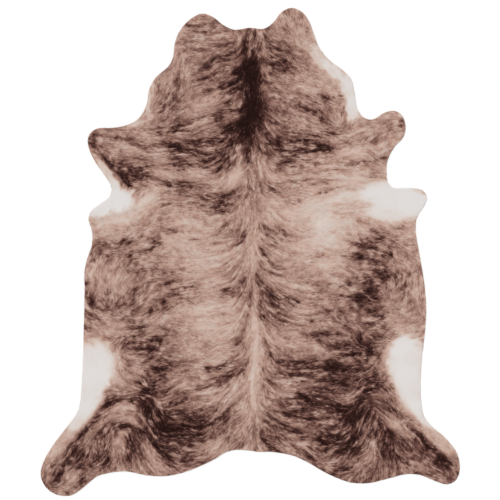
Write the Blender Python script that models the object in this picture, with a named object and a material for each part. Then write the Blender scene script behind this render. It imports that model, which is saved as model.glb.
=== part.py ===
"""A whole cowhide, tanned with its hair on and laid out flat as a rug.

+Y points to the neck, X runs across the back, and the hair side faces up. The origin is the middle
of the rug's box, on the floor. The hide is one piece: a flat flesh side, a cut edge that the coat
rolls over, and a hair side that stands highest along the neck and thins towards belly and legs.
"""

from collections import namedtuple
from math import ceil, cos, exp, hypot, pi, sin

import bmesh
import bpy
from mathutils import Vector
from mathutils.geometry import delaunay_2d_cdt

CM = 0.01
MM = 0.001

# Driving sizes of the hide, in metres
LENGTH = 2.13  # from the tip of an ear to the tip of a hind leg, along the back
LEATHER = 2.0 * MM  # the tanned skin alone
COAT_AT_EDGE = 1.5 * MM  # depth of the lying hair beside the cut edge
EDGE_ROLL = 8.0 * MM  # how far in from the cut edge the coat has rolled up to that depth
EDGE_BEVEL = 0.8 * MM  # how far the flesh side's rim is set in under the cut edge
FADE = 90.0 * MM  # how far in from the edge the mounds of the coat reach their own height

# How finely the hide is cut into faces
ROLL_STEPS = 3  # faces across the rolled edge
EDGE_STEP = 18.0 * MM  # along the cut edge
TOP_STEP = 62.0 * MM  # over the hair side

# The outline, anticlockwise from the middle of the neck: knots (x, y) of a smooth closed curve, in
# centimetres from the middle of the hide. The whole outline is then scaled to LENGTH.
Stretch = namedtuple("Stretch", "name knots")
OUTLINE = (
    Stretch("nape", ((-0.3, 97.5), (-7.0, 96.7), (-11.5, 98.5))),
    Stretch("left ear", ((-16.5, 102.3), (-21.0, 103.7), (-25.0, 102.1), (-29.8, 97.6), (-32.6, 92.0))),
    Stretch(
        "left neck",
        ((-33.8, 84.6), (-35.7, 80.8), (-41.2, 75.9), (-43.9, 71.2), (-45.5, 63.4), (-48.4, 58.3)),
    ),
    Stretch(
        "left foreleg",
        ((-53.5, 55.2), (-60.0, 53.9), (-67.0, 53.5), (-70.3, 50.7), (-70.7, 46.2), (-67.9, 39.5)),
    ),
    Stretch("left armpit", ((-63.2, 32.8), (-60.6, 28.1), (-61.4, 24.0), (-65.9, 20.4))),
    Stretch("left elbow", ((-69.3, 17.7), (-70.5, 14.0), (-69.0, 8.8), (-69.1, 2.8))),
    Stretch(
        "left belly",
        ((-71.0, -2.7), (-72.3, -8.5), (-72.3, -17.0), (-72.6, -33.0), (-73.2, -52.0), (-74.2, -66.0)),
    ),
    Stretch(
        "left hind leg",
        (
            (-75.5, -70.4), (-80.8, -77.5), (-86.4, -85.0), (-90.4, -92.2), (-91.4, -97.5),
            (-89.3, -102.6), (-84.5, -105.9), (-78.3, -106.3), (-73.2, -103.1), (-66.6, -97.9),
        ),
    ),
    Stretch(
        "left buttock",
        (
            (-61.0, -96.4), (-54.0, -95.8), (-46.5, -97.3), (-38.5, -97.9), (-31.0, -96.8),
            (-23.5, -94.2), (-15.5, -90.4), (-10.5, -87.4),
        ),
    ),
    Stretch("tail", ((-6.0, -86.4), (-0.5, -86.7), (3.8, -87.3), (9.0, -87.3))),
    Stretch(
        "right buttock",
        (
            (18.3, -88.9), (24.5, -91.6), (31.5, -95.7), (39.0, -99.2), (44.8, -100.8),
            (52.0, -100.8), (60.0, -98.9), (68.0, -97.0),
        ),
    ),
    Stretch(
        "right hind leg",
        (
            (74.0, -97.4), (80.0, -99.8), (85.5, -101.4), (89.3, -99.8), (91.2, -95.0),
            (90.0, -88.0), (85.7, -82.1), (79.3, -76.4), (75.9, -72.3), (74.4, -66.0),
        ),
    ),
    Stretch(
        "right belly",
        (
            (74.1, -57.5), (74.8, -45.5), (76.1, -34.0), (76.6, -25.5), (75.8, -14.0),
            (73.7, -1.5), (71.9, 10.2),
        ),
    ),
    Stretch(
        "right elbow",
        (
            (72.7, 15.2), (75.5, 19.7), (76.9, 23.5), (74.9, 26.6), (71.0, 27.5),
            (66.0, 27.5), (62.0, 27.8),
        ),
    ),
    Stretch("right armpit", ((59.9, 29.9), (59.3, 34.0), (59.7, 39.5), (62.4, 45.1))),
    Stretch(
        "right foreleg",
        ((66.5, 49.8), (67.6, 54.0), (66.2, 59.2), (62.6, 61.3), (58.3, 60.4), (53.3, 57.6)),
    ),
    Stretch(
        "right neck",
        (
            (49.3, 58.4), (46.6, 62.2), (45.2, 70.0), (43.9, 75.2), (40.0, 79.2),
            (34.3, 83.5), (29.8, 89.2), (27.6, 95.0),
        ),
    ),
    Stretch(
        "right ear",
        ((25.5, 100.4), (22.6, 104.3), (18.0, 106.2), (13.8, 104.5), (9.7, 99.6), (5.8, 97.1)),
    ),
)

# Where the coat stands deeper than at the edge: the middle of each mound and its half width and
# half length, in centimetres, and its height, in millimetres.
Mound = namedtuple("Mound", "place x y half_width half_length rise")
MOUNDS = (
    Mound("whole trunk", 0, -10, 70, 95, 1.4),
    Mound("crest of the neck", 1, 70, 12, 38, 1.1),
    Mound("hump over the withers", 1, 38, 30, 18, 0.5),
    Mound("left shoulder", -38, 36, 20, 13, 0.4),
    Mound("right shoulder", 36, 38, 20, 13, 0.4),
    Mound("ridge along the back", 1, -20, 5, 75, 0.6),
    Mound("left haunch", -33, -72, 22, 17, 0.6),
    Mound("right haunch", 38, -74, 22, 17, 0.6),
    Mound("left hind leg", -76, -92, 14, 14, 0.4),
    Mound("right hind leg", 76, -88, 14, 14, 0.4),
)

SHARP = pi / 4  # edges that turn more than this look sharp
CLOSE = 1e-9  # metres: points nearer than this are one point to the triangulation
FACES_INSIDE = 1  # the triangulation's choice of triangles within the outline alone


def remove_startup_objects():
    for thing in list(bpy.data.objects):
        bpy.data.objects.remove(thing, do_unlink=True)


def curve_point(before, start, end, after, share):
    """The point at this share of the way from start to end on a centripetal Catmull-Rom curve."""
    knots = (before, start, end, after)
    times = [0.0]
    for one, other in zip(knots, knots[1:]):
        times.append(times[-1] + (other - one).length ** 0.5)
    time = times[1] + (times[2] - times[1]) * share

    def between(one, other, first, last):
        return one.lerp(other, (time - first) / (last - first))

    pairs = [between(knots[i], knots[i + 1], times[i], times[i + 1]) for i in range(3)]
    pairs = [between(pairs[i], pairs[i + 1], times[i], times[i + 2]) for i in range(2)]
    return between(*pairs, times[1], times[2])


def cut_edge():
    """The hide's outline as evenly stepped points, anticlockwise, about the middle of its box."""
    knots = [Vector(knot) * CM for stretch in OUTLINE for knot in stretch.knots]
    points = []
    for i, start in enumerate(knots):
        before, end, after = knots[i - 1], knots[(i + 1) % len(knots)], knots[(i + 2) % len(knots)]
        steps = ceil((end - start).length / EDGE_STEP)
        points += [curve_point(before, start, end, after, k / steps) for k in range(steps)]
    low = Vector((min(point.x for point in points), min(point.y for point in points)))
    high = Vector((max(point.x for point in points), max(point.y for point in points)))
    scale = LENGTH / (high.y - low.y)
    return [(point - (low + high) / 2) * scale for point in points]


def set_in(loop, distance):
    """The loop's points moved towards the inside, square to the edge."""
    moved = []
    for i, point in enumerate(loop):
        along = loop[(i + 1) % len(loop)] - loop[i - 1]
        moved.append(point + Vector((-along.y, along.x)).normalized() * distance)
    return moved


def from_edge(point, loop):
    """The distance from a point to the nearest point of the loop."""
    return min((point - other).length for other in loop)


def inside(point, loop):
    """Whether a ray from the point towards +X crosses the loop an odd number of times."""
    crossings = 0
    for i, end in enumerate(loop):
        start = loop[i - 1]
        if (start.y > point.y) != (end.y > point.y):
            crossings += point.x < start.x + (end.x - start.x) * (point.y - start.y) / (end.y - start.y)
    return crossings % 2 == 1


def mound_height(point):
    """How much deeper the coat is at this point of the trunk than at the edge."""
    height = 0.0
    for mound in MOUNDS:
        away = hypot(
            (point.x / CM - mound.x) / mound.half_width,
            (point.y / CM - mound.y) / mound.half_length,
        )
        height += mound.rise * MM * exp(-away * away)
    return height


def top_height(point, depth_in):
    """The height of the hair side at a point this far in from the cut edge."""
    share = min(1.0, depth_in / FADE)
    return LEATHER + COAT_AT_EDGE + mound_height(point) * share * share * (3 - 2 * share)


def add_ring(shape, loop, height):
    """A ring of corners over the points of the loop, each at the height asked for there."""
    return [shape.verts.new((*point, height(point))) for point in loop]


def add_rim(shape, edge):
    """The rim from the floor over the rolled edge, and the lowest and highest ring of its corners."""
    rings = [
        add_ring(shape, set_in(edge, EDGE_BEVEL), lambda point: 0.0),
        add_ring(shape, edge, lambda point: LEATHER),
    ]
    for step in range(1, ROLL_STEPS + 1):
        turn = pi / 2 * step / ROLL_STEPS
        depth_in = EDGE_ROLL * (1 - cos(turn))

        def roll(point):
            return LEATHER + (top_height(point, depth_in) - LEATHER) * sin(turn)

        rings.append(add_ring(shape, set_in(edge, depth_in), roll))
    for lower, upper in zip(rings, rings[1:]):
        for i in range(len(edge)):
            shape.faces.new((lower[i - 1], lower[i], upper[i], upper[i - 1]))
    return rings[0], rings[-1]


def net_points(edge):
    """A staggered net of points over the hair side, clear of its rim."""
    rows = ceil(LENGTH / TOP_STEP)
    points = []
    for row in range(-rows, rows + 1):
        for column in range(-rows, rows + 1):
            point = Vector((column + row % 2 / 2, row * sin(pi / 3))) * TOP_STEP
            if inside(point, edge) and from_edge(point, edge) > EDGE_ROLL + EDGE_STEP:
                points.append(point)
    return points


def add_hair_side(shape, ring, edge):
    """Triangles over the hair side, from the rim's highest ring inwards."""
    rim = [corner.co.to_2d() for corner in ring]
    ways = [(i, (i + 1) % len(rim)) for i in range(len(rim))]
    points = rim + net_points(edge)
    flat, _, faces, origins, _, _ = delaunay_2d_cdt(points, ways, [], FACES_INSIDE, CLOSE)
    corners = []
    for point, (origin, *_) in zip(flat, origins):
        if origin < len(ring):
            corners.append(ring[origin])
        else:
            height = top_height(point, from_edge(point, edge))
            corners.append(shape.verts.new((*point, height)))
    for face in faces:
        shape.faces.new([corners[i] for i in face])


def material(name, colour, roughness):
    made = bpy.data.materials.new(name)
    made.use_nodes = True
    shader = made.node_tree.nodes["Principled BSDF"]
    shader.inputs["Base Color"].default_value = (*colour, 1.0)
    shader.inputs["Roughness"].default_value = roughness
    shader.inputs["Metallic"].default_value = 0.0
    return made


def build_hide():
    """The whole hide as one closed solid, coat on top and suede below."""
    edge = cut_edge()
    shape = bmesh.new()
    lowest, highest = add_rim(shape, edge)
    add_hair_side(shape, highest, edge)
    flesh_side = shape.faces.new(reversed(lowest))
    flesh_side.material_index = 1

    mesh = bpy.data.meshes.new("hide")
    shape.to_mesh(mesh)
    shape.free()
    mesh.materials.append(material("brindle coat", (0.35, 0.23, 0.19), 0.65))
    mesh.materials.append(material("suede flesh side", (0.62, 0.54, 0.45), 0.9))
    mesh.shade_smooth()
    mesh.set_sharp_from_angle(angle=SHARP)
    hide = bpy.data.objects.new("hide", mesh)
    bpy.context.scene.collection.objects.link(hide)


remove_startup_objects()
build_hide()
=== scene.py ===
"""A whole brindle cowhide, hair on, laid flat as a rug, as its coat looks from above.

The sheet of leather takes its outline and its mounds from the frame's hide. Over it lie short locks
of hair that follow the way the coat grows: back from the neck, down from the spine to the belly and
round the legs. Places are in centimetres from the middle of the hide, +Y to the neck.
"""

from collections import namedtuple
from math import ceil, cos, pi, radians, sin

import bpy
import numpy as np
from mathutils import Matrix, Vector
from mathutils.bvhtree import BVHTree
from mathutils.geometry import delaunay_2d_cdt


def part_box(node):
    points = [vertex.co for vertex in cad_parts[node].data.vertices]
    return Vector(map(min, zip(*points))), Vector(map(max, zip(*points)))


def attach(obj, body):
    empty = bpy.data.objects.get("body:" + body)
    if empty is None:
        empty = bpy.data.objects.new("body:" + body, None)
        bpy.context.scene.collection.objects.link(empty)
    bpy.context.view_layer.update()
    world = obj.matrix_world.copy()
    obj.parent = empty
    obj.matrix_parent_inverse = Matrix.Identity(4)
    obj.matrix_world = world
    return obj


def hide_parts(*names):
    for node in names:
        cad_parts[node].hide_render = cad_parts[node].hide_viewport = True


CM = 0.01
MM = 0.001

# ---- the coat's pattern

# How the hair lies: at a place, the turn of the hair's line from the X axis, in degrees.
Lie = namedtuple("Lie", "x y turn")
LIES = {
    "neck": (
        (-22, 99, -12), (-8, 87, 27), (-20, 81, 17), (-3, 86, 85), (0, 90, 90), (0, 70, 88),
        (11, 89, -30), (18, 88, -45), (22, 85, -32), (18, 103, -75), (28, 61, -37), (14, 62, -30),
        (-37, 64, 45), (-33, 74, 65), (-40, 70, 90), (-45, 60, 60), (-50, 56, 22), (33, 67, -25),
        (41, 68, 5), (41, 59, 80), (43, 74, -70), (60, 57, 17), (64, 54, -10), (-25, 66, 30),
        (22, 72, -15), (-25, 90, -5), (-28, 58, 30),
    ),
    "shoulders": (
        (-25, 40, -3), (-10, 41, 35), (-5, 38, 68), (-12, 26, 22), (-22, 17, -8), (-28, 15, -3),
        (-3, 8, 60), (-10, 8, 18), (-26, -1, 0), (0, 40, 90), (1, 30, 90), (24, 39, 5),
        (23, 31, 12), (26, 28, 10), (8, 18, -33), (25, 14, 2), (15, 9, -8), (1, 15, 90),
        (-30, 5, -5), (30, 4, 0), (5, 36, -70), (-20, 30, 0), (15, 33, -12), (-17, 41, 6),
    ),
    "left flank": (
        (-58, 20, 85), (-60, 28, 100), (-62, 36, -52), (-45, 22, 40), (-60, 4, 5), (-50, 6, 12),
        (-36, 10, 5), (-70, 2, 80), (-66, -6, 80), (-66, -15, 85), (-60, -10, 70), (-55, -8, 60),
        (-48, -14, 45), (-40, -6, 5), (-38, -14, 15), (-60, -30, -15), (-68, -31, -38),
        (-66, -50, 88), (-57, -45, 60), (-50, -52, -45), (-54, -46, -30), (-58, -56, -40),
        (-35, -38, 15), (-33, -57, 15), (-32, 0, 0), (-50, 8, 14), (-44, 3, 20), (-50, -2, 28),
        (-56, 6, 8), (-45, -40, 8), (-44, -50, 5), (-46, -33, 12),
    ),
    "right flank": (
        (35, 52, 0), (58, 47, 45), (60, 24, -5), (70, 22, 0), (40, 22, 8), (50, 13, -25),
        (36, 14, 0), (62, 12, -15), (36, 3, 0), (68, 11, 0), (35, -8, -5), (42, -12, -25),
        (64, -14, 75), (70, -16, 85), (36, -26, -15), (66, -30, 8), (73, -34, 10),
        (68, -50, 90), (58, -48, 75), (44, -33, -5), (33, -40, -3), (56, -54, 30), (44, 32, 8),
        (74, -25, 90), (50, 4, -10), (54, -2, -12), (50, -8, -8), (53, -15, -10), (50, -21, -5),
        (55, -24, -15), (52, -31, -6), (54, -38, -10), (50, -44, -3), (60, -4, -25),
    ),
    "back": (
        (2, -5, 90), (2, -20, 90), (2, -35, 90), (2, -50, 90), (1, -62, 90), (0, -75, 85),
        (-6, -7, 38), (-14, -8, 14), (-24, -8, 3), (-4, -33, 55), (-12, -32, 15), (-24, -30, 3),
        (-8, -40, 38), (-18, -41, 5), (-28, -43, 0), (9, -8, -28), (18, -8, -2), (28, -8, 0),
        (8, -36, -48), (17, -34, -15), (26, -33, -2), (24, -42, 3), (12, -56, -25), (24, -58, -10),
        (-3, -57, 60), (-20, -62, 5), (-12, -62, 30), (5, -52, -72), (-22, -24, 5),
    ),
    "haunches": (
        (0, -82, 90), (-12, -83, 60), (4, -78, -75), (-24, -90, 0), (-46, -93, -60),
        (-55, -68, 0), (-60, -71, 28), (-50, -71, -40), (-68, -74, 42), (-76, -83, 47),
        (-80, -79, 52), (-56, -83, 88), (-68, -84, 72), (-42, -79, -58), (-36, -94, -42),
        (-75, -100, 42), (-80, -104, 12), (-87, -93, 62), (-31, -87, -8), (42, -63, 20),
        (58, -66, -45), (64, -66, -50), (50, -78, 68), (56, -88, 80), (70, -90, -48),
        (72, -79, -45), (80, -81, -42), (48, -93, 40), (50, -98, 75), (36, -89, -8),
        (31, -93, -28), (80, -97, -30), (88, -97, -60), (64, -95, 80), (36, -71, -2),
        (-64, -95, 25), (-15, -81, 30), (18, -84, -30), (54, -59, 10), (55, -62.5, 5), (50, -60, 38),
        (59.5, -61.5, -30),
    ),
}

# Broad areas of the ground that are darker or lighter than the rest, in the columns of Streak.
GROUNDS = (
    (0, 76, 90, 56, 40, 13),  # upper neck
    (-28, 88, 60, 24, 14, 9),  # its left corner
    (26, 62, -40, 30, 18, 5),  # right of the stripe
    (40, 76, -50, 30, 12, -20),  # the neck's right edge
    (-42, 66, 60, 24, 10, -9),  # and its left edge
    (-16, 71, 20, 22, 12, 6),  # left of the stripe
    (2, 54, 90, 20, 16, -5),  # the stripe's lower end
    (14, 56, -30, 16, 10, 8),  # and right of it
    (50, 22, 0, 50, 40, -13),  # right elbow
    (68, 16, 0, 24, 16, -8),  # and its outer side
    (36, 43, 0, 40, 14, -9),  # right foreleg
    (-60, 18, 0, 30, 22, -10),  # left elbow
    (-44, 36, -20, 22, 16, -7),  # left foreleg
    (-21, 42, 0, 24, 14, 4),  # left shoulder
    (-16, -14, 90, 70, 34, -8),  # left ribs
    (-45, -16, 30, 28, 16, 11),  # behind the left elbow
    (-68, -6, 90, 30, 10, -5),  # and the edge there
    (18, 12, 0, 30, 20, -2),  # right ribs
    (2, 4, 90, 34, 10, 7),  # the middle line behind the shoulders
    (14, 14, 0, 14, 10, -6),  # and right of it
    (48, -42, 90, 50, 30, 5),  # right flank
    (56, -24, 0, 22, 18, 6),  # its upper part
    (44, -42, 0, 18, 14, 4),  # its middle
    (46, -4, 0, 22, 12, 4),  # behind the right elbow
    (70, -20, 90, 30, 10, 5),  # and the edge there
    (-26, -42, 90, 30, 14, 6),  # left loin
    (-14, -56, 90, 20, 10, -9),  # and nearer to the tail
    (-54, -54, 80, 24, 12, -8),  # beside the left flank's white
    (3, -70, 90, 38, 18, 7),  # before the tail
    (-40, -84, 0, 80, 34, 4),  # left haunch
    (-42, -99, 0, 26, 8, 8),  # its lower edge
    (-56, -70, 0, 16, 10, 9),  # and its upper left
    (40, -80, 0, 60, 44, 11),  # right haunch
    (52, -97, 0, 32, 16, 20),  # its lower edge
    (60, -70, -40, 18, 10, 7),  # and its upper right
    (84, -94, -40, 26, 16, 12),  # right hind foot
    (-84, -96, 40, 26, 16, 13),  # left hind foot
)

# Dark streaks and light ones: the middle, the turn, the length and the width of the part that is at
# least half as strong as the middle, and how much darker it is, in hundredths.
Streak = namedtuple("Streak", "x y turn long wide dark")
STREAKS = {
    "lines above and below the neck's stripe": (
        (-0.5, 47, 88, 8, 2, 45), (-1.4, 90, 90, 12, 1, 44), (0.3, 94, 95, 7, 1.6, 20),
        (3, 95, -40, 4, 2, 35), (-0.1, 89, 88, 8, 0.9, -30), (-0.8, 42, 88, 14, 1.3, 42),
        (-1, 31, -86, 12, 1, 30), (1.2, 37, 89, 20, 3.4, 15),
    ),
    "left of the neck": (
        (-6.5, 55, 45, 9, 6, 30),
        (-9, 51, 50, 8, 4, 35), (-4.5, 48, 60, 5, 2.5, 30), (-7, 45, 70, 5, 3, 40),
        (-6, 87.5, 22, 11, 2.6, 35), (-12, 85, 15, 7, 1.6, 30), (-20, 81.5, 15, 6, 2, 30),
        (-16, 79, 10, 4, 2, 25), (-19, 76, 20, 5, 1.5, 25), (-8, 79, 10, 5, 2.5, 30),
        (-8.5, 68, 40, 7, 3.5, 30), (-6, 72, 20, 7, 3, 30), (-12, 61, 15, 12, 1.6, 35),
        (-22, 58.5, 15, 6, 1.4, 30), (-13, 58.5, 15, 5, 1.5, 25), (-28, 55.5, 28, 9, 1.5, 35),
        (-25, 98.8, -12, 7, 1.6, 30), (-17, 97.5, 30, 6, 1.8, 25), (-9, 98, -25, 6, 1.2, 20),
        (-20, 63.5, 30, 12, 5, -18), (-21, 56.5, 15, 10, 3, -15), (-9, 59.5, 25, 6, 2.5, -15),
        (-34.5, 66.5, 45, 6, 3.5, 40), (-37.5, 65, 20, 5, 2.2, 20), (-38.5, 62, 45, 6, 2.5, 35),
        (-32, 73, 70, 6, 2.5, 25), (-31, 76, 0, 4, 3, 20), (-32, 58, 60, 5, 6, 20),
        (-40.5, 70, 90, 5, 1.5, 20), (-36.5, 78.5, 35, 5, 2, -15), (-43, 52.5, 0, 4, 1.5, 30),
        (-33, 54, 20, 5, 3, 30), (-31, 83, 90, 12, 5, -10),
    ),
    "right of the neck": (
        (6.5, 52.5, -50, 5, 2.5, 35), (8.5, 49, -50, 5, 2.5, 35), (11.5, 88.5, -30, 8, 5, 35),
        (9, 84, -30, 5, 2.5, 30), (16.5, 82, -40, 8, 4, 35), (17.5, 88.5, -45, 6, 1.2, 25),
        (22.3, 84.5, -32, 5, 1.2, 25), (12.5, 79.5, -10, 6, 2, 20), (10.5, 69, -60, 5, 3.5, 25),
        (18, 66, -10, 7, 2.5, 20), (28, 60.5, -37, 8, 1.4, 45), (13, 55.3, -20, 4, 2.2, 45),
        (7, 63.5, -30, 4, 2.5, 30), (5.5, 57, -40, 4, 2, 30), (18, 103.5, -70, 5, 2.5, 20),
        (17, 72, -5, 18, 6, -10), (26, 92, 100, 8, 12, -15), (32.5, 67, -25, 7, 4, 35),
        (41, 68.4, 5, 8, 0.8, 30), (40.5, 60.5, 80, 4, 1.5, 30), (31.5, 58, -45, 5, 1.3, 40),
        (30.5, 61, 0, 2, 1.5, 30), (61.5, 54.2, -10, 5, 2, 35), (67, 56, -80, 3, 1.2, 40),
        (41, 56.5, 85, 3, 2, 20), (7, 93, -35, 5, 2.5, 20),
    ),
    "left shoulder": (
        (-30, 47, 5, 12, 4, 35), (-17, 48, 3, 12, 4, 35), (-20, 44.5, 0, 20, 1.6, 30),
        (-22, 42, 0, 12, 1.8, 30), (-20, 39.5, 0, 20, 2.6, 50), (-10, 41.5, 35, 6, 2, 35),
        (-22, 37, 0, 18, 1.4, 45), (-11, 37, 38, 6, 2, 30), (-27, 29, -5, 14, 3, 30),
        (-17, 25, -3, 14, 1.6, 20), (-15.5, 23, 0, 8, 2, 40), (-9, 22.5, 32, 8, 3.2, 50),
        (-18, 20.8, -8, 10, 1.8, 35), (-13, 19, 0, 5, 2.4, 40), (-8, 26.5, 25, 6, 1.6, 30),
        (-20, 17, -8, 10, 1.4, 20), (-12, 17, 20, 5, 1.2, 25), (-10, 9, 20, 9, 3, 25),
        (-11.5, 12, 30, 3, 1.5, 25), (-3, 7.5, 55, 6, 3, 35), (-5, 3.5, 50, 4, 1.5, 25),
        (-24, 6.2, -12, 6, 1.4, 25), (-31, 9, -10, 4, 1.5, 30), (-21, 34, 0, 22, 3.5, -12),
        (-7, 31, 50, 10, 5, -22), (-4.5, 38, 68, 10, 3, -15), (-3.2, 47, 85, 6, 1.5, -30),
        (-26, 4, 0, 14, 8, -15), (-27, 13, 0, 10, 4, -12),
    ),
    "right shoulder": (
        (3.3, 27.5, -70, 4, 2, 35), (2.5, 22, 80, 5, 3, 20), (3.5, 43.5, 60, 3, 1.6, 30),
        (7.5, 43.5, -52, 6, 1.5, 40), (18, 47, -2, 15, 2.6, 55), (29, 46.5, -5, 8, 2.5, 35),
        (22, 49.3, 3, 14, 1.6, 35), (23, 51.3, -15, 10, 1, 35), (14, 44, -15, 7, 1.6, 25),
        (19, 43, 4, 12, 1.3, 30), (26, 44.3, 2, 10, 1.4, 30), (17, 38.7, 2, 12, 2, 26),
        (24, 38.8, 5, 12, 3, 45), (13, 36.8, 5, 6, 1.5, 25), (22.5, 30.8, 12, 8, 1.3, 35),
        (11, 28, -30, 9, 1.6, 25), (16.5, 23.7, -15, 8, 1.2, 25), (19.7, 22.5, 0, 3, 2, 35),
        (5.7, 11, 90, 5, 2.5, 25), (7.5, 8, -45, 6, 1.5, 35), (13.5, 9, 0, 6, 3, 30),
        (18, 6.5, 0, 8, 3, 20), (6.5, -0.5, -45, 5, 2.2, 50), (10.5, 4.5, -40, 5, 1.2, 20),
        (31, -1, 0, 4, 2.5, 20), (27, 20, 8, 14, 6, -28), (31, 11, 90, 12, 6, -25),
        (25, 3, 0, 10, 5, -20), (8, 21, 0, 8, 3, -12), (1.5, 0, 90, 5, 4, -20),
        (1.5, 15, 88, 25, 4, -8),
    ),
    "left foreleg and elbow": (
        (-66, 51, -5, 8, 2, 20), (-60, 50.2, -5, 12, 1.4, 30), (-53, 48.3, -12, 8, 1.4, 30),
        (-49, 46.8, -8, 9, 1.8, 45), (-68, 48, 80, 6, 4, 25), (-65.5, 43.8, -42, 8, 1.8, 40),
        (-58, 39.2, -5, 10, 2.4, 45), (-50, 40.3, 0, 10, 1.2, 25), (-50, 37, 5, 10, 1.3, 30),
        (-44.5, 37.8, 8, 6, 1.4, 35), (-59, 37, -35, 5, 1.2, 30), (-56, 34.5, -30, 7, 3, 40),
        (-49.5, 33, 60, 6, 5, 55), (-53, 30, -60, 6, 4, 45), (-52, 27, 100, 4, 2.5, 45),
        (-45, 33.5, -20, 5, 2.6, 28), (-38.5, 31.5, -15, 6, 2, 20), (-33, 30, -12, 8, 3, 45),
        (-34, 27, -15, 6, 1, 20), (-31, 25.5, -10, 4, 1.5, 30), (-33, 46.5, 0, 7, 3.5, 40),
        (-33.5, 42, 0, 5, 2.5, 35), (-32, 38, -30, 4, 3, 35), (-40.5, 52, -10, 5, 2, 25),
        (-38, 44.5, 0, 7, 1.2, 25), (-34, 33.5, -8, 10, 1.8, -20), (-37, 38, 0, 8, 5, -22),
        (-46, 22, 40, 12, 2.4, -30), (-54, 15, 0, 12, 4, -25), (-60, 12.5, 0, 10, 4, -15),
    ),
    "left flank": (
        (-60, 3.8, 5, 12, 1.8, 35), (-67, 3.3, 0, 4, 1.2, 35), (-61, 7, 20, 6, 1.5, 20),
        (-61, 0.5, 0, 7, 4, 20), (-63, -1, -20, 4, 2, 30), (-70, -1.5, 60, 3, 3, 40),
        (-51, 6, 10, 6, 1.5, 25), (-44.5, 7, -60, 4, 3, 30), (-41.5, 3.5, 45, 5, 3, 50),
        (-50, 0, 0, 5, 1.8, 30), (-52.5, -2, 90, 3, 2, 30), (-51.5, 13, 0, 4, 2, 20),
        (-43.5, 14.5, 60, 5, 2, 20), (-37.5, 14.5, 0, 4, 3, 25), (-36, 9.6, 5, 6, 1.2, 30),
        (-36, 21.5, 0, 6, 3, 20), (-46, 0.5, 10, 4, 1, 25), (-35, 5, 0, 8, 5, -15),
        (-71.5, -16, 92, 5, 2, 45), (-68.3, -21.5, 90, 5, 3.5, 50), (-62.5, -22, 80, 5, 3.5, 35),
        (-60.5, -21, 100, 4, 1.4, 30), (-49, -9.2, 22, 4, 1.8, 40), (-53.5, -5.5, 60, 6, 4, 20),
        (-34, -13.1, 5, 5, 1, 35), (-50, -17, 42, 6, 2, 30), (-37, -21.5, 28, 6, 3, 50),
        (-30, -17.5, 12, 8, 4, 35), (-41, -25.5, 10, 9, 2, 42), (-35, -8, 0, 8, 1.6, 25),
        (-53, -25, 25, 6, 2, 38), (-60.5, -26, 20, 5, 2.2, 25), (-70, -28.5, -45, 5, 2, 30),
        (-65.5, -29.5, 0, 5, 2.2, 20), (-70.3, -33.5, 0, 3, 1.5, 35), (-53, -28, 80, 4, 4, 20),
        (-56, -13, 0, 10, 6, -12), (-59, -33, -30, 8, 4, -15), (-38, -28.8, 15, 10, 2.4, -20),
    ),
    "behind the left ribs": (
        (-52, -38, 0, 10, 4.5, 50), (-48, -33.5, 15, 5, 3, 40), (-37, -33.5, -10, 6, 3, 30),
        (-41.5, -37, 5, 5, 2.5, 35), (-41.5, -40.5, 8, 8, 3.6, 50), (-46.5, -42.5, 8, 8, 1.6, 45),
        (-48, -48, -12, 9, 2, 45), (-39, -46.3, 15, 7, 3.2, 42), (-35, -49.5, 10, 7, 2.2, 50),
        (-38.5, -52.5, 62, 6, 3.2, 55), (-53.5, -52, -38, 5, 1.8, 30), (-45, -55.5, 85, 7, 3.5, 45),
        (-43.5, -60.8, 70, 7, 6, 50), (-35, -59.8, 25, 6, 2.8, 40), (-49, -61.5, -55, 5, 3, 25),
        (-20, -59, 5, 9, 2, 38), (-15.5, -55, 3, 5, 2, 42), (-32.5, -65.5, 8, 6, 1.6, 40),
        (-27, -63.5, -5, 6, 2.4, 32), (-47.5, -52, -20, 5, 2.5, -15), (-42, -34, 0, 4, 2, -15),
        (-58, -47, 75, 9, 3.5, -10), (-35, -63, 20, 6, 1.6, -15),
    ),
    "left of the back": (
        (-10.5, -16.7, 20, 10, 2.4, 45), (-3, -13, 52, 5, 2.2, 42), (-5.5, -8.8, 50, 4, 1.6, 32),
        (-10.5, -4.8, 40, 4, 1, 20), (-25, -14.5, 5, 6, 1.2, 30),
        (-23, -21, 0, 4, 1.6, 20), (-3.5, -18.5, 55, 4, 1.4, 30), (-0.5, -20, 75, 5, 1.2, 25),
        (-2.2, -25, 68, 6, 2.4, 35), (-3.5, -34, 55, 5, 1.6, 30), (-3.5, -38.5, 45, 3.5, 1.2, 40),
        (-3.5, -43, 60, 6, 1.4, 30), (-9, -47.5, 30, 8, 2.2, 40), (-14, -50.5, 3, 9, 1.8, 42),
        (-13, -45.5, 5, 6, 1.4, 22), (-19, -47, 0, 3, 1.5, 20), (-3.2, -51.5, 55, 5, 1.8, 45),
        (-1.2, -47.5, 70, 4, 1, 30), (-9, -55.7, 50, 7, 5, 35), (-28, -51, -20, 4, 2.5, 20),
        (-24.5, -36, 30, 3, 2, 25), (-29, -31, 5, 5, 2, 25), (-24, -26, 5, 12, 3.4, -25),
        (-20, -32.5, 0, 11, 4, -27), (-27, -10, 0, 12, 3, -12), (-2, -65, 50, 10, 5, -12),
    ),
    "right of the back": (
        (8, -5.3, -25, 5, 1.4, 30), (14, -7.8, 0, 5, 1.4, 30), (4.3, -12.8, -65, 5, 1.8, 45),
        (8.2, -17.5, -42, 8, 3, 45), (12, -17.5, -30, 5, 1.5, 25), (14, -20.3, -8, 12, 1.6, 40),
        (19, -21, -15, 3.5, 1.8, 45), (6.8, -23, -45, 5, 1.8, 35), (11, -22, -30, 6, 1.6, 28),
        (10.5, -25.5, -33, 8, 2.2, 34), (15.5, -27.5, -20, 6, 1.8, 35), (5, -26, -58, 6, 2, 32),
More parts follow.
